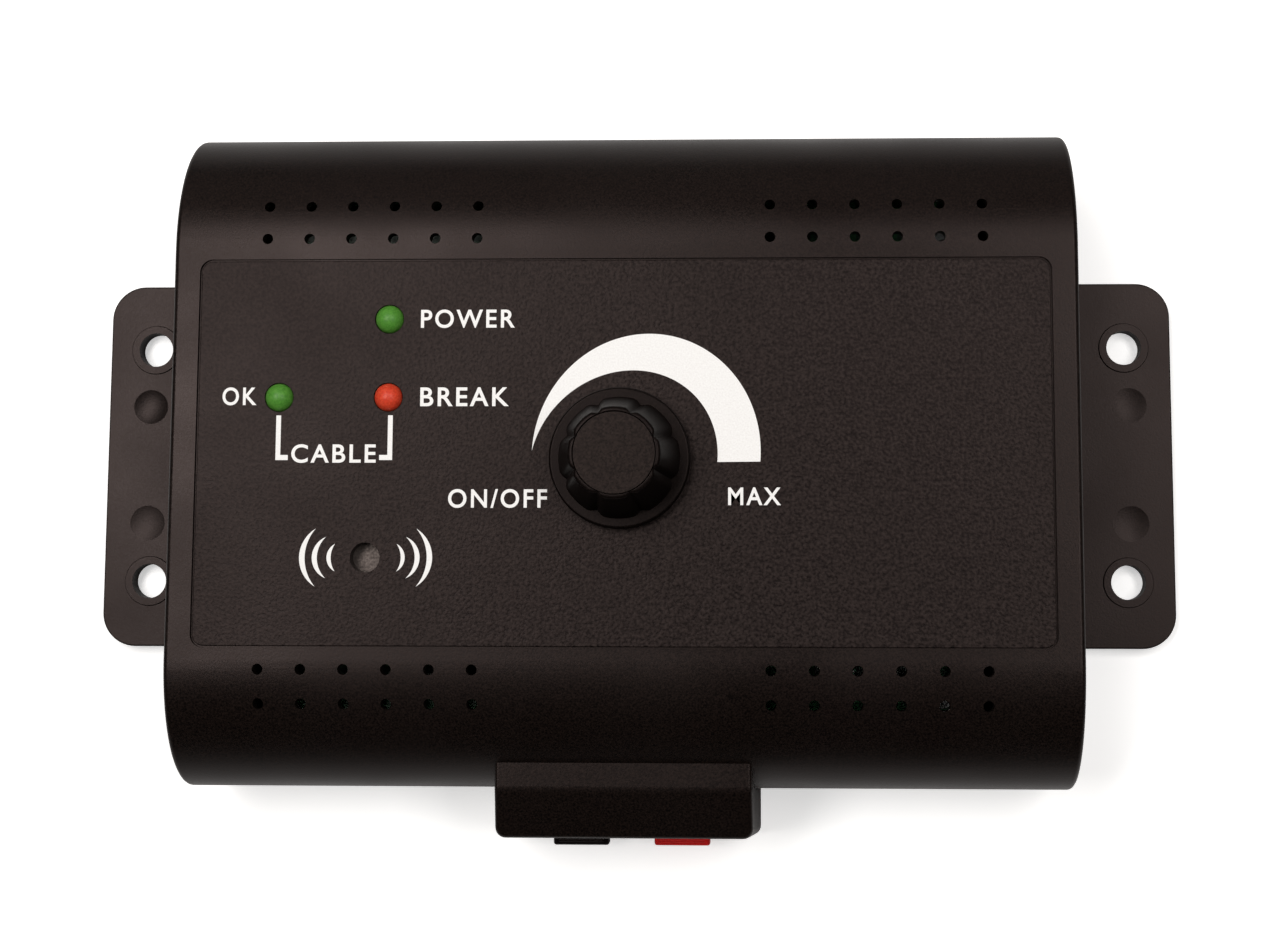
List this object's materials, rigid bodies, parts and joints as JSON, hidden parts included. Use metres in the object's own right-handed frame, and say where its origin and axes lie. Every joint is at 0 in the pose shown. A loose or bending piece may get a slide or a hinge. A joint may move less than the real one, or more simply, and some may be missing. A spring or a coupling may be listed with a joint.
{
  "type": "wall-mount control box",
  "caption": "Wall-mounted electronic control box with bull-nosed front, rotary knob, indicator lamps, sound hole, vent holes, mounting ears and a hooded spring terminal.",
  "frame": {"origin": "middle of the flat back of the box, where it lies on the wall", "axes": "+X is the reading direction of the panel, +Y its top, +Z out of the front face; the part lies on its back"},
  "size_m": [0.2074, 0.1319, 0.055],
  "materials": {
    "case_plastic": "fine spark texture, satin black-brown",
    "panel_film": "coarse matt texture with white print",
    "knob_plastic": "fine matt, slightly lighter flats",
    "black_moulding": "satin",
    "red_moulding": "satin",
    "green_lamp": "diffusing tinted epoxy",
    "red_lamp": "diffusing tinted epoxy",
    "zinc": "zinc plated",
    "nickel": "bright nickel plate",
    "brass": "turned and threaded",
    "aluminium": "extruded or turned",
    "circuit_board": "green solder resist over glass epoxy",
    "yellow_box": "epoxy filled box",
    "sleeve_black": "shrunk sleeve",
    "ferrite": "sintered ferrite wound with copper",
    "fuse_glass": "clear tube with nickel caps",
    "red_wire": "PVC insulation"
  },
  "bodies": {
    "root": {"amplifier_chip": "black_moulding", "board_screw_1": "zinc", "board_screw_2": "zinc", "board_screw_3": "zinc", "board_screw_4": "zinc", "bottom_shell": "case_plastic", "buzzer": "black_moulding", "buzzer_disc": "aluminium", "capacitor_large": "sleeve_black", "capacitor_middle": "sleeve_black", "capacitor_small": "sleeve_black", "case_screw_1": "zinc", "case_screw_2": "zinc", "case_screw_3": "zinc", "case_screw_4": "zinc", "choke": "ferrite", "circuit_board": "circuit_board", "contact_spring_black": "nickel", "contact_spring_red": "nickel", "control_bush": "brass", "control_can": "zinc", "control_nut": "nickel", "control_pin_1": "nickel", "control_pin_2": "nickel", "control_pin_3": "nickel", "control_switch": "black_moulding", "control_washer": "zinc", "crystal": "nickel", "driver_chip": "black_moulding", "film_capacitor": "yellow_box", "fuse": "fuse_glass", "fuse_clip_1": "nickel", "fuse_clip_2": "nickel", "heat_sink": "aluminium", "inlet": "black_moulding", "inlet_pin": "nickel", "inner_wire_black": "sleeve_black", "inner_wire_red": "red_wire", "lamp_break": "red_lamp", "lamp_ok": "green_lamp", "lamp_power": "green_lamp", "lamp_spacer_break": "black_moulding", "lamp_spacer_ok": "black_moulding", "lamp_spacer_power": "black_moulding", "microcontroller": "black_moulding", "panel_film": "panel_film", "regulator": "black_moulding", "sink_screw": "zinc", "terminal_block": "black_moulding", "terminal_screw_left": "zinc", "terminal_screw_right": "zinc", "top_shell": "case_plastic"},
    "knob": {"knob": "knob_plastic", "knob_cap": "knob_plastic", "control_shaft": "aluminium"},
    "lever_black": {"lever_black": "black_moulding"},
    "lever_red": {"lever_red": "red_moulding"}
  },
  "joints": [
    {"name": "knob_turn", "type": "hinge", "parent": "root", "child": "knob", "pos_m": [-0.0003, -0.00125, 0.045], "axis": [0, 0, -1], "range_deg": [0, 300]},
    {"name": "lever_black_press", "type": "hinge", "parent": "root", "child": "lever_black", "pos_m": [-0.0095, -0.057, 0.008], "axis": [1, 0, 0], "range_deg": [0, 12], "stiffness_Nm_per_rad": 0.4, "springref_deg": -11.46},
    {"name": "lever_red_press", "type": "hinge", "parent": "root", "child": "lever_red", "pos_m": [0.0095, -0.057, 0.008], "axis": [1, 0, 0], "range_deg": [0, 12], "stiffness_Nm_per_rad": 0.4, "springref_deg": -11.46}
  ]
}
